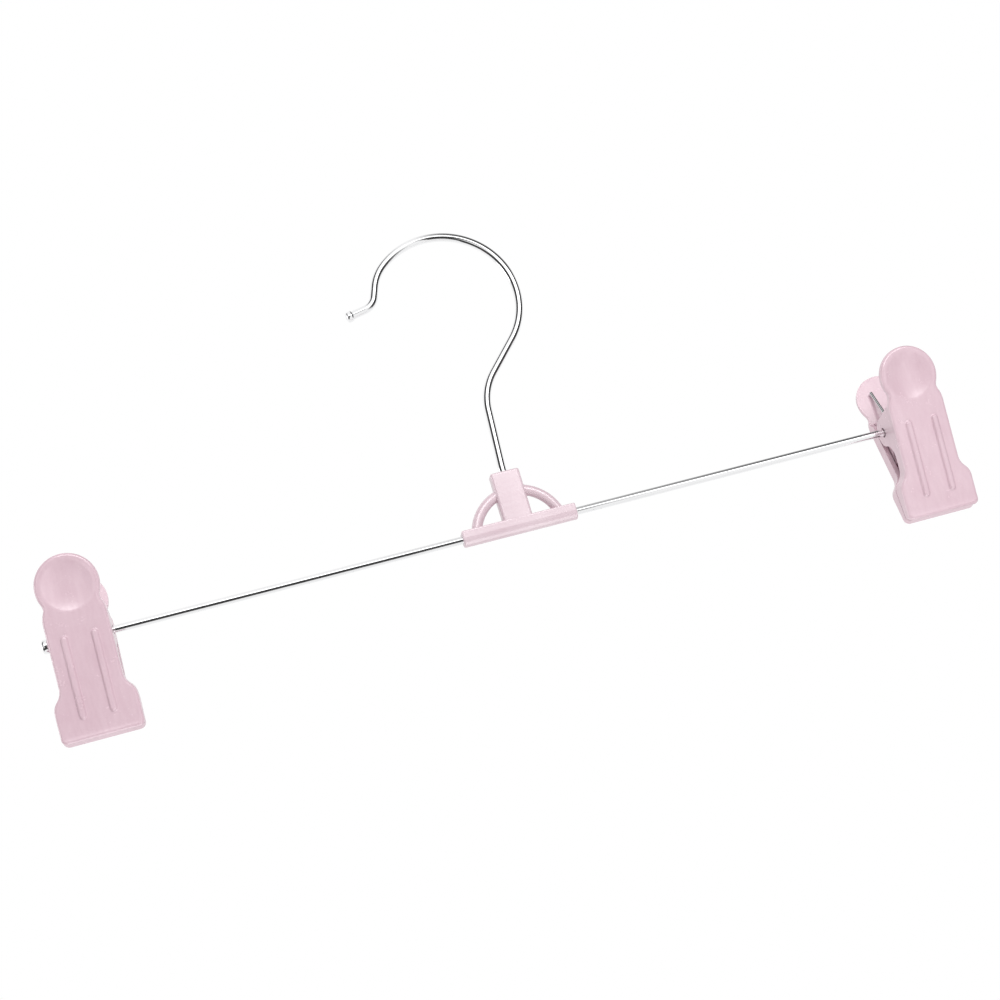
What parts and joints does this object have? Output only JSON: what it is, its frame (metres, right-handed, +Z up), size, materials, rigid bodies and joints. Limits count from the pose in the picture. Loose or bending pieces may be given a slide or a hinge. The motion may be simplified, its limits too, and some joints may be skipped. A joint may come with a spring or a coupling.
{
  "type": "skirt hanger",
  "caption": "Skirt hanger with a turning wire hook, a straight wire bar through a moulded centre block, and a sprung pinch clip that slides and swings at each end.",
  "frame": {"origin": "seat on the inside of the hook's arc, straight above the stem, where a rail carries the hanger", "axes": "+X along the bar to the viewer's right, +Y away from the viewer, +Z up"},
  "size_m": [0.308, 0.0316, 0.1391],
  "materials": {
    "plated_wire": "bright zinc-plated drawn wire",
    "spring_wire": "plain spring wire",
    "pink_plastic": "pale pink moulded polypropylene, satin"
  },
  "bodies": {
    "hook": {"hook": "plated_wire"},
    "frame": {"centre_block": "pink_plastic", "bar": "plated_wire"},
    "left_carriage": {"left_spring": "spring_wire"},
    "left_front": {"left_front_jaw": "pink_plastic"},
    "left_rear": {"left_rear_jaw": "pink_plastic"},
    "right_carriage": {"right_spring": "spring_wire"},
    "right_front": {"right_front_jaw": "pink_plastic"},
    "right_rear": {"right_rear_jaw": "pink_plastic"}
  },
  "joints": [
    {"name": "hook_swivel", "type": "hinge", "parent": "hook", "child": "frame", "pos_m": [0, 0, -0.104], "axis": [0, 0, 1], "continuous": true},
    {"name": "left_slide", "type": "slide", "parent": "frame", "child": "left_carriage", "axis": [1, 0, 0], "range_m": [0, 0.1135]},
    {"name": "left_swing", "type": "hinge", "parent": "left_carriage", "child": "left_front", "pos_m": [-0.14295, 0, -0.104], "axis": [1, 0, 0], "continuous": true, "deforming": ["left_spring"]},
    {"name": "left_open", "type": "hinge", "parent": "left_front", "child": "left_rear", "pos_m": [-0.14295, 0, -0.104], "axis": [1, 0, 0], "range_deg": [0, 40], "stiffness_Nm_per_rad": 0.25, "springref_deg": -22.92, "deforming": ["left_spring"]},
    {"name": "right_slide", "type": "slide", "parent": "frame", "child": "right_carriage", "axis": [-1, 0, 0], "range_m": [0, 0.1099]},
    {"name": "right_swing", "type": "hinge", "parent": "right_carriage", "child": "right_front", "pos_m": [0.13935, 0, -0.104], "axis": [1, 0, 0], "continuous": true, "deforming": ["right_spring"]},
    {"name": "right_open", "type": "hinge", "parent": "right_front", "child": "right_rear", "pos_m": [0.13935, 0, -0.104], "axis": [1, 0, 0], "range_deg": [0, 40], "stiffness_Nm_per_rad": 0.25, "springref_deg": -22.92, "deforming": ["right_spring"]}
  ]
}
